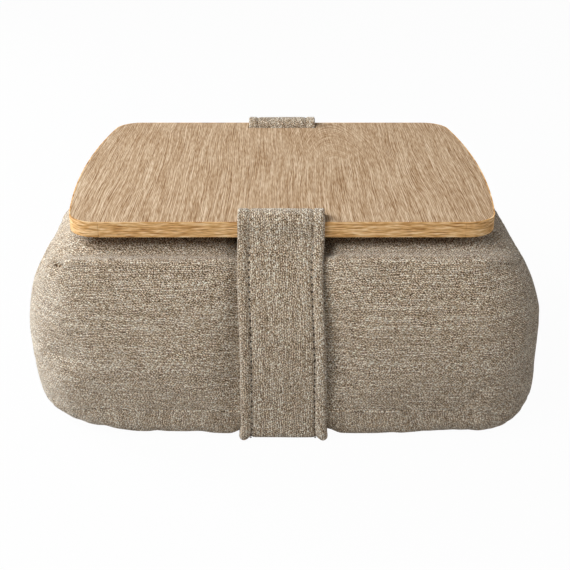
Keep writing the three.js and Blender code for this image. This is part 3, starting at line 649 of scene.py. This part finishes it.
def buildCushion(settings):
    columns, rows = [
        latticeLines(settings[size] / 2, [settings[mark], settings[mark] + settings["channelSlope"]], settings)
        for size, mark in (("width", "channelHalf"), ("depth", "closureHalf"))]
    heights = heightLines(settings)
    counts = [len(columns[0]) - 1, len(rows[0]) - 1, len(heights) - 1]
    box = latticeBox(counts)
    place = np.array([v.co for v in box.verts]).round().astype(int)
    column = (columns[0][place[:, 0]], columns[1][place[:, 0]])
    row = (rows[0][place[:, 1]], rows[1][place[:, 1]])
    border = (np.abs(column[1]) == 1) | (np.abs(row[1]) == 1)
    points = sidePoints(column, row, heights[place[:, 2]], settings)
    fromSeam = np.minimum(heights[place[:, 2]] - heights[0], heights[-1] - heights[place[:, 2]])
    top = (place[:, 2] == counts[2]) & ~border
    foot = (place[:, 2] == 0) & ~border
    for panel, makePoints in ((top, topPoints), (foot, bottomPoints)):
        panelLines = [(at[panel], share[panel]) for at, share in (column, row)]
        points[panel], edge = makePoints(*panelLines, settings)
        fromSeam[panel] = (1 - edge) * settings["cornerRadius"]
    distances, whole = roundBoxing(columns, rows, settings)
    panels = [flatPanel(points, place, level, counts) for level in (0, counts[2])]
    upward = upBoxing(points, place, heights, settings)
    apart = settings["panelApart"]
    threads = box.loops.layers.uv.new("threads")
    for face in box.faces:
        spots = [place[loop.vert.index] for loop in face.loops]
        levels = {s[2] for s in spots}
        isTop, isFoot = levels == {counts[2]}, levels == {0}
        if not (isTop or isFoot):
            onward = [distances[(s[0], s[1])] for s in spots]
            if max(onward) - min(onward) > whole / 2:
                onward = [d + whole if d < whole / 2 else d for d in onward]
        for n, loop in enumerate(face.loops):
            c, r, h = spots[n]
            if isTop or isFoot:
                flatX, flatY = panels[isTop]
                topPlace = (flatX[c, r] + 2 * apart, flatY[c, r] + apart)
                uv = topPlace if isTop else (flatY[c, r], flatX[c, r] + apart)
            else:
                uv = (onward[n], upward[(c, r)][h])
            loop[threads].uv = (uv[0] / mm, uv[1] / mm)
    for vert, point in zip(box.verts, points):
        vert.co = point
    mesh = bpy.data.meshes.new("cushionCover")
    box.to_mesh(mesh)
    box.free()
    for polygon in mesh.polygons:
        polygon.use_smooth = True
    piece = bpy.data.objects.new("cushionCover", mesh)
    scene.collection.objects.link(piece)
    along = alongSeam(columns, rows, place, distances, settings)
    onSeam = border & ((place[:, 2] == 0) | (place[:, 2] == counts[2]))
    return piece, {"points": points, "fromSeam": fromSeam, "along": along, "top": top, "onSeam": onSeam}


# Points that the seams, the tray, the strap, the floor and the zip keep where they are
def heldPoints(marks, settings):
    points = marks["points"]
    nearSeam = marks["fromSeam"] < settings["seamHold"]
    underTray = marks["top"] & (np.abs(points[:, 0]) < settings["trayReach"][0]) & (
        np.abs(points[:, 1]) < settings["trayReach"][1])
    underTray |= points[:, 2] > settings["height"] - settings["trayHold"]
    onFloor = points[:, 2] < settings["floorHold"]
    underStrap = np.abs(points[:, 0]) < settings["channelHalf"] + settings["channelSlope"]
    atZip = (points[:, 0] > settings["width"] / 2 - settings["zipHold"]) & (
        np.abs(points[:, 2] - settings["zipMiddle"]) < settings["valleyHalf"])
    return nearSeam | underTray | onFloor | underStrap | atZip


def stuff(piece, marks, settings):
    held = heldPoints(marks, settings)
    group = piece.vertex_groups.new(name="held")
    group.add([int(i) for i in np.flatnonzero(held)], 1.0, "REPLACE")
    modifier = piece.modifiers.new("stuffing", "CLOTH")
    cloth = modifier.settings
    cloth.vertex_group_mass = "held"
    cloth.use_pressure = True
    cloth.uniform_pressure_force = settings["pressure"]
    cloth.shrink_min = settings["growth"]
    cloth.quality = settings["clothQuality"]
    cloth.tension_stiffness = cloth.compression_stiffness = settings["clothStiffness"]
    cloth.bending_stiffness = settings["clothBending"]
    cloth.effector_weights.gravity = 0
    for step in range(1, settings["clothSteps"] + 1):
        scene.frame_set(step)
    evaluated = piece.evaluated_get(bpy.context.evaluated_depsgraph_get())
    stuffed = np.array([v.co for v in evaluated.data.vertices])
    piece.modifiers.remove(modifier)
    piece.vertex_groups.remove(group)
    scene.frame_set(1)
    move = stuffed - marks["points"]
    length = np.linalg.norm(move, axis=1)
    print("stuffing moved", length.max().round(4), length.mean().round(4))
    limit = np.minimum(1, settings["moveCap"] / np.maximum(length, 1e-9))
    return marks["points"] + move * limit[:, None]


# Sewn seams, the puckers beside them and the uneven filling
sewing = {
    "seamPull": 0.0009,
    "strapPull": 0.35,  # share beneath the strap
    "strapFade": 0.02,
    "rightPull": 0.0016,  # added where the top seam is drawn tight, on the right
    "rightFrom": (0.06, 0.12),
    "rightAbove": 0.1,
    "puckerHeight": 0.0009,
    "puckerReach": 0.011,
    "puckers": ((0.0137, 0.3, 0.5), (0.0213, 1.1, 0.4), (0.0079, 2.2, 0.25)),  # length, phase, share
    "lumps": ((0.11, 0.4, 0.0011), (0.067, 1.9, 0.0008)),
    "dimples": (
        {"at": (-0.1861, -0.1435, 0.1586), "radius": 0.0055, "depth": 0.0085},
        {"at": (-0.2065, -0.110, 0.147), "radius": 0.006, "depth": 0.0035},
        {"at": (-0.1585, -0.1540, 0.1625), "radius": 0.0055, "depth": 0.0034},
    ),
}


def surfaceNormals(piece, points):
    piece.data.vertices.foreach_set("co", points.astype(np.float32).ravel())
    piece.data.update()
    normals = np.zeros(len(points) * 3, np.float32)
    piece.data.vertices.foreach_get("normal", normals)
    return normals.reshape(-1, 3).astype(float)


def sew(piece, points, marks, settings, details):
    normals = surfaceNormals(piece, points)
    free = ~heldPoints(marks, settings) | marks["onSeam"]
    half = settings["channelHalf"]
    away = easing(np.abs(points[:, 0]), half, half + details["strapFade"])
    gather = np.zeros(len(points))
    for length, phase, share in details["puckers"]:
        gather += share * np.sin(2 * math.pi * marks["along"] / length + phase)
    reach = np.exp(-marks["fromSeam"] / details["puckerReach"])
    lift = details["puckerHeight"] * gather * reach * away * free
    tight = easing(points[:, 0], *details["rightFrom"]) * (points[:, 2] > details["rightAbove"])
    pull = details["seamPull"] + details["rightPull"] * tight * np.clip(0.5 + gather, 0, 1)
    lift -= pull * marks["onSeam"] * (details["strapPull"] + (1 - details["strapPull"]) * away)
    for length, phase, height in details["lumps"]:
        waves = [np.sin(2 * math.pi * points[:, n] / length + phase * (n + 1)) for n in range(3)]
        lift += height * waves[0] * waves[1] * waves[2] * away * free
    points = points + normals * lift[:, None]
    for dimple in details["dimples"]:
        gap = np.linalg.norm(points - np.array(dimple["at"]), axis=1)
        dip = dimple["depth"] * np.exp(-((gap / dimple["radius"]) ** 2))
        points = points - normals * dip[:, None]
    return points


# The filling has sunk a little to the right, except where the zip holds the end
def leaning(points, settings):
    x, y, z = points.T
    sunk = 1 - easing(z, settings["leanFrom"][1], settings["leanFrom"][0])
    atZip = easing(x, *settings["zipEnd"]) * (1 - easing(np.abs(y), *settings["zipCorner"]))
    lifted = easing(-x, *settings["liftAcross"]) * easing(-y, *settings["liftForward"])
    lifted *= 1 - easing(z, *settings["liftHeight"])
    return np.stack([x + settings["lean"] * sunk * (1 - atZip), y, z + settings["cornerLift"] * lifted], 1)


def keepClear(points, settings):
    underTray = (np.abs(points[:, :2]) < settings["trayEdge"]).all(axis=1)
    points[underTray, 2] = np.minimum(points[underTray, 2], settings["height"] - settings["clearance"])
    points[:, 2] = np.maximum(points[:, 2], settings["clearance"])
    return points


def makeCushion():
    piece, marks = buildCushion(cushion)
    points = stuff(piece, marks, cushion)
    points = leaning(sew(piece, points, marks, cushion, sewing), cushion)
    points = keepClear(points, cushion)
    surfaceNormals(piece, points)
    rounding = piece.modifiers.new("rounding", "SUBSURF")
    rounding.levels = rounding.render_levels = 1
    piece.data.materials.append(tweed)
    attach(piece, "desk")
    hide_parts("cover_top_panel", "cover_boxing", "cover_end_upper", "cover_end_lower",
                "cover_bottom_panel", "inner_bag_upper", "inner_bag_lower", "filling")


makeCushion()
print("cushion stuffed and sewn")

# Strap: a band with rolled, stitched edges, from under the tray round the cushion and back
strap = {
    "width": 0.070,
    "halfEdge": 0.0024,  # half the thickness of the rolled edge
    "trayEdge": 0.140,
    "trayTop": 0.1935,
    "trayUnderside": 0.1803,
    "slotY": 0.124,
    "loopRise": 0.0098,
    "loopClearance": 0.0007,
    "foldRadius": 0.005,
    "foldSteps": 8,
    "loopSteps": 24,
    "faceSteps": 30,
    "turnSteps": 12,
    "upperZ": 0.1768,
    "lowerZ": 0.17115,
    "overlapHalf": 0.030,
    "rampLength": 0.020,
    "rampGap": 0.0003,  # between the ramp's foot and the other end
    "floorTurn": 0.0045,
    "standoff": 0.0012,
    "loopThickness": 0.0019,  # half, where the rolled edges lie flat over the tray's edges
    "flatten": (-0.006, 0.003),  # about the tray's top
    "longPuff": (0.05, 0.021),  # share of the thickness, and length
    "shortPuff": (0.04, 0.0083),
    "sway": (0.0004, 0.047),
    "footFlare": 0.45,  # the rolled edges swell at the foot
    "flareHeight": (0.006, 0.045),
    "flareFloor": 0.001,
    "rollInset": 0.004,
    "step": 0.003,
    # half thickness by distance from the edge
    "section": ((0, 0), (0.3, 1.1), (0.9, 1.95), (2.0, 2.75), (4.2, 3.2), (6.3, 2.8), (7.8, 1.9), (8.9, 1.05),
                (9.5, 0.7), (10.1, 1.0), (11.5, 1.6), (14.0, 1.75), (35.0, 1.8)),
    "innerLimit": 0.0022,  # half thickness on the side of the cushion
    "aside": -0.0013,
    "asideLost": 0.7,  # in the loops
    "loopSpread": 0.016,
    "loopStart": 0.02,  # below the tray
    "floorGap": 0.0001,
    "leanShare": 0.6,  # of the cushion's lean
    "footSpread": 0.05,  # how much wider it is at the foot
    "rollSpread": 0.05,  # and again just above the floor
    "rollHeight": (0.002, 0.018),
    "rearLoop": 0.85,  # height of the rear loop beside the front one
    "sectionStops": (0, 0.12, 0.4, 0.9, 1.6, 2.6, 3.8, 5.2, 6.5, 7.7, 8.7, 9.2, 9.5, 9.8, 10.4, 11.5, 14,
                     18, 23, 29, 35),
    "stitchInset": 0.0095,
    "stitchPitch": 0.0061,
    "stitchLength": 0.0042,
    "stitchRadius": 0.00042,
    # size and rise of the near-black ellipsoids that paint the shade in the needle holes
    "pitShadeSize": (0.0009, 0.0011, 0.0005),
    "pitShadeRise": 0.0003,
    "slotMargin": 0.002,
    "hiddenDepth": 0.02,  # of the closure under the tray
}


def arc(middle, radius, start, end, count):
    angles = np.linspace(start, end, count) * math.pi
    return [(middle[0] + radius[0] * math.cos(a), middle[1] + radius[1] * math.sin(a)) for a in angles]


def frontOfCushion(z):
    bulge = cushion["bulgeHeight"]
    seam = cushion["topSeam"] if z > bulge else cushion["bottomSeam"]
    share = (z - bulge) / (seam["height"] - bulge)
    dent = cushion["topEdgeDent"] * share**2 if z > bulge else 0
    face = cushion["depth"] / 2 - seam["draw"] * share ** cushion["sidePower"] - dent
    return -(face + strap["halfEdge"] + strap["standoff"])


# The band's middle line as y and z, from its upper end under the tray to its lower one
def strapRoute(settings):
    half, fold = settings["halfEdge"], settings["foldRadius"]
    slotY, upperZ = settings["slotY"], settings["upperZ"]
    outerY = -(settings["trayEdge"] + settings["loopClearance"] + half)
    loopMiddle, loopHalf = (outerY - slotY) / 2, (-slotY - outerY) / 2
    top, turn = settings["trayTop"], settings["floorTurn"]
    front = arc((fold - slotY, upperZ + fold), (fold, fold), 1.5, 1, settings["foldSteps"])
    front += arc((loopMiddle, top), (loopHalf, settings["loopRise"] - half), 0, 1, settings["loopSteps"])
    front += [(outerY, settings["trayUnderside"])]
    heights = np.linspace(cushion["topSeam"]["height"], turn, settings["faceSteps"])
    front += [(frontOfCushion(z), z) for z in heights]
    turnY = frontOfCushion(turn)
    for share in np.linspace(0, 1, settings["turnSteps"])[1:]:
        front += [(turnY + turn * share**2, turn * (1 - share) ** 2 + half * (1 - (1 - share) ** 2))]
    rear = [(-y, z if z < top else top + (z - top) * settings["rearLoop"]) for y, z in reversed(front)]
    overlap = settings["overlapHalf"]
    slope = [(overlap + settings["rampLength"], upperZ), (overlap + settings["rampGap"], settings["lowerZ"])]
    return np.array([(overlap, upperZ), *front, *rear, *slope, (-overlap, settings["lowerZ"])])


def evenly(route, step):
    lengths = np.concatenate([[0], np.cumsum(np.linalg.norm(np.diff(route, axis=0), axis=1))])
    distance = np.linspace(0, lengths[-1], round(lengths[-1] / step) + 1)
    even = np.stack([np.interp(distance, lengths, route[:, n]) for n in range(2)], 1)
    for _ in range(2):
        even[1:-1] = (even[:-2] + 2 * even[1:-1] + even[2:]) / 4
    tangent = np.gradient(even, axis=0)
    tangent /= np.linalg.norm(tangent, axis=1, keepdims=True)
    outward = np.stack([tangent[:, 1], -tangent[:, 0]], 1)
    return even, tangent, outward, distance


# Places on the band, moved as the cushion has moved it
def alongCushion(places, settings):
    height, underside = places[:, 2], settings["trayUnderside"]
    inLoop = easing(height, underside - settings["loopStart"], underside)
    spread = settings["footSpread"] * (1 - easing(height, 0.0, cushion["height"]))
    spread += settings["rollSpread"] * (1 - easing(height, *settings["rollHeight"]))
    spread += settings["loopSpread"] * inLoop
    moved = leaning(places, {**cushion, "lean": cushion["lean"] * settings["leanShare"]})
    moved[:, 0] += places[:, 0] * spread + settings["aside"] * (1 - settings["asideLost"] * inLoop)
    moved[:, 2] = np.maximum(moved[:, 2], settings["floorGap"])
    return moved


# The section's outline from one edge over the outer face to the other and back underneath
def strapOutline(settings):
    stops = np.array(settings["sectionStops"])
    curve = np.array(settings["section"])
    thick = np.interp(stops, curve[:, 0], curve[:, 1]) * mm
    x = settings["width"] / 2 - stops * mm
    half = [np.concatenate([x, -x[-2::-1]]), np.concatenate([thick, thick[-2::-1]])]
    return np.concatenate([half[0], half[0][-2:0:-1]]), np.concatenate([half[1], -half[1][-2:0:-1]])


def makeStrap(settings):
    middle, _, outward, distance = evenly(strapRoute(settings), settings["step"])
    x, out = strapOutline(settings)
    around, steps = len(x), len(middle)
    band = bmesh.new()
    bmesh.ops.create_grid(band, x_segments=around, y_segments=steps - 1, size=0.5)
    place = np.array([v.co for v in band.verts])
    across = ((place[:, 0] + 0.5) * around).round().astype(int)
    onward = ((place[:, 1] + 0.5) * (steps - 1)).round().astype(int)
    sides = np.hypot(np.diff(x, append=x[0]), np.diff(out, append=out[0]))
    girth = np.concatenate([[0], np.cumsum(sides)])
    band.verts.index_update()
    threads = band.loops.layers.uv.new("threads")
    for face in band.faces:
        for loop in face.loops:
            i = loop.vert.index
            loop[threads].uv = (distance[onward[i]] / mm, girth[across[i]] / mm)
    x, out, along = x[across % around], out[across % around], distance[onward]
    middle, outward = middle[onward], outward[onward]
    (longPuff, longWave), (shortPuff, shortWave) = settings["longPuff"], settings["shortPuff"]
    puff = 1 + longPuff * np.sin(along / longWave + 2 * np.sign(x)) + shortPuff * np.sin(along / shortWave)
    half = settings["width"] / 2
    lowDown = 1 - easing(middle[:, 1], *settings["flareHeight"])
    rolled = easing(np.abs(x), half - settings["stitchInset"], half - settings["rollInset"])
    puff += settings["footFlare"] * lowDown * rolled * (middle[:, 1] > settings["flareFloor"])
    height = out * puff
    overTray = easing(middle[:, 1] - settings["trayTop"], *settings["flatten"])
    flat = np.clip(height, -settings["loopThickness"], settings["loopThickness"])
    height = np.maximum(height + (flat - height) * overTray, -settings["innerLimit"])
    sway, swayWave = settings["sway"]
    places = np.column_stack([x + sway * np.sin(along / swayWave), middle + outward * height[:, None]])
    for vert, point in zip(band.verts, alongCushion(places, settings)):
        vert.co = point
    bmesh.ops.remove_doubles(band, verts=band.verts, dist=1e-6)
    ends = [e for e in band.edges if e.is_boundary]
    bmesh.ops.holes_fill(band, edges=ends, sides=0)
    bmesh.ops.recalc_face_normals(band, faces=band.faces)
    piece = addMesh("strapBand", band, tweed)
    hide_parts("strap")


def addMesh(name, shape, material):
    mesh = bpy.data.meshes.new(name)
    shape.to_mesh(mesh)
    shape.free()
    for polygon in mesh.polygons:
        polygon.use_smooth = True
    mesh.materials.append(material)
    piece = bpy.data.objects.new(name, mesh)
    scene.collection.objects.link(piece)
    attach(piece, "desk")
    return piece


threadYarn = {"colour": (0.42, 0.35, 0.27), "fleck": (0.26, 0.21, 0.155), "grain": 2200, "rough": 0.85}
# Painted shade: a near-black finish for the ellipsoids that stand in for the shade in the needle holes
stitchPitShade = {"colour": (0.045, 0.032, 0.02), "fleck": (0.03, 0.02, 0.013), "grain": 2200, "rough": 0.95}


# Two rows of lockstitch along the outer face, wherever the tray doesn't hide it, and below the tray near-black
# ellipsoids at the needle holes as painted shade
def makeStitching(settings):
    middle, tangent, outward, distance = evenly(strapRoute(settings), settings["step"])
    curve = np.array(settings["section"])
    depth = np.interp(settings["stitchInset"] / mm, curve[:, 0], curve[:, 1]) * mm
    stitches, pitShades = bmesh.new(), bmesh.new()
    stitchSize = (settings["stitchRadius"], settings["stitchLength"] / 2, settings["stitchRadius"], 1)
    pitch = settings["stitchPitch"]
    for number in range(int(distance[-1] / pitch)):
        n = int(np.searchsorted(distance, (number + 0.5) * pitch))
        y, z = middle[n]
        betweenSlots = abs(y) < settings["slotY"] - settings["slotMargin"]
        if betweenSlots and z > settings["upperZ"] - settings["hiddenDepth"]:
            continue
        alongBand = Vector((0, *tangent[n]))
        out = Vector((0, *outward[n]))
        across = alongBand.cross(out)
        turn = Matrix([across, alongBand, out]).transposed().to_4x4()
        for side in (-1, 1):
            spot = Vector((side * (settings["width"] / 2 - settings["stitchInset"]), y, z)) + out * depth
            spot = Vector(alongCushion(np.array([spot]), settings)[0])
            place = Matrix.Translation(spot) @ turn @ Matrix.Diagonal(stitchSize)
            bmesh.ops.create_uvsphere(stitches, u_segments=6, v_segments=5, radius=1.0, matrix=place)
            if z > settings["trayUnderside"]:
                continue
            # Painted shade: a near-black ellipsoid between the stitches at each needle hole, just proud of the
            # band
            pitShade = spot + alongBand * pitch / 2 + out * settings["pitShadeRise"]
            place = Matrix.Translation(pitShade) @ turn @ Matrix.Diagonal((*settings["pitShadeSize"], 1))
            bmesh.ops.create_uvsphere(pitShades, u_segments=6, v_segments=4, radius=1.0, matrix=place)
    sewn = (("strapStitching", stitches, threadYarn), ("strapStitchPitShade", pitShades, stitchPitShade))
    for name, shape, finish in sewn:
        addMesh(name, shape, makePlain(name, finish))


makeStrap(strap)
makeStitching(strap)
print("strap laid and stitched")

# Studio: a pale floor that looks white, an even sky and three large soft lamps
studio = {
    "floorHalf": 4.0,
    "floorDrop": 0.0003,
    "floorColour": (0.56, 0.56, 0.56, 1),
    "floorWhiteness": 0.97,
    "skyStrength": 0.1,
    "aim": (0, 0, 0.1),
    "lamps": {
        "left": {"place": (-1.95, 0.8, 1.0), "size": 1.0, "power": 51.0, "colour": (0.89, 0.95, 1.0)},
        "front": {"place": (-1.4, -1.05, 1.95), "size": 1.9, "power": 62.0, "colour": (1, 1, 1)},
        "right": {"place": (2.2, -0.9, 1.2), "size": 1.0, "power": 11.0, "colour": (1, 1, 1)},
    },
}


def towardsLens(tree):
    path = addNode(tree, "ShaderNodeLightPath")
    rays = calc(tree, "ADD", path.outputs["Is Camera Ray"], path.outputs["Is Glossy Ray"])
    return calc(tree, "MINIMUM", calc(tree, "ADD", rays, path.outputs["Is Transmission Ray"]), 1.0)


def makeStudio(settings):
    ground = bmesh.new()
    bmesh.ops.create_grid(ground, x_segments=1, y_segments=1, size=settings["floorHalf"])
    bmesh.ops.translate(ground, verts=ground.verts, vec=(0, 0, -settings["floorDrop"]))
    mesh = bpy.data.meshes.new("floor")
    ground.to_mesh(mesh)
    ground.free()
    floor = bpy.data.objects.new("floor", mesh)
    scene.collection.objects.link(floor)
    material, tree = newMaterial("floor")
    matt = addNode(tree, "ShaderNodeBsdfDiffuse", {"Color": settings["floorColour"]})
    white = addNode(tree, "ShaderNodeEmission", {"Color": (1, 1, 1, 1), "Strength": 1.0})
    share = calc(tree, "MULTIPLY", towardsLens(tree), settings["floorWhiteness"])
    mixed = addNode(tree, "ShaderNodeMixShader", {0: share, 1: matt.outputs[0], 2: white.outputs[0]})
    addNode(tree, "ShaderNodeOutputMaterial", {"Surface": mixed.outputs[0]})
    mesh.materials.append(material)
    sky = bpy.data.worlds.new("studio")
    sky.use_nodes = True
    tree = sky.node_tree
    tree.nodes.clear()
    even, bright = [addNode(tree, "ShaderNodeBackground", {"Color": (1, 1, 1, 1), "Strength": strength})
                    for strength in (settings["skyStrength"], 1.0)]
    skies = {0: towardsLens(tree), 1: even.outputs[0], 2: bright.outputs[0]}
    mixed = addNode(tree, "ShaderNodeMixShader", skies)
    addNode(tree, "ShaderNodeOutputWorld", {"Surface": mixed.outputs[0]})
    scene.world = sky
    for name, lamp in settings["lamps"].items():
        light = bpy.data.lights.new(name, "AREA")
        light.shape = "DISK"
        light.size = lamp["size"]
        light.energy = lamp["power"]
        light.color = lamp["colour"]
        stand = bpy.data.objects.new(name, light)
        stand.location = lamp["place"]
        aim = Vector(settings["aim"]) - stand.location
        stand.rotation_euler = aim.to_track_quat("-Z", "Y").to_euler()
        scene.collection.objects.link(stand)


makeStudio(studio)
print("studio lit")
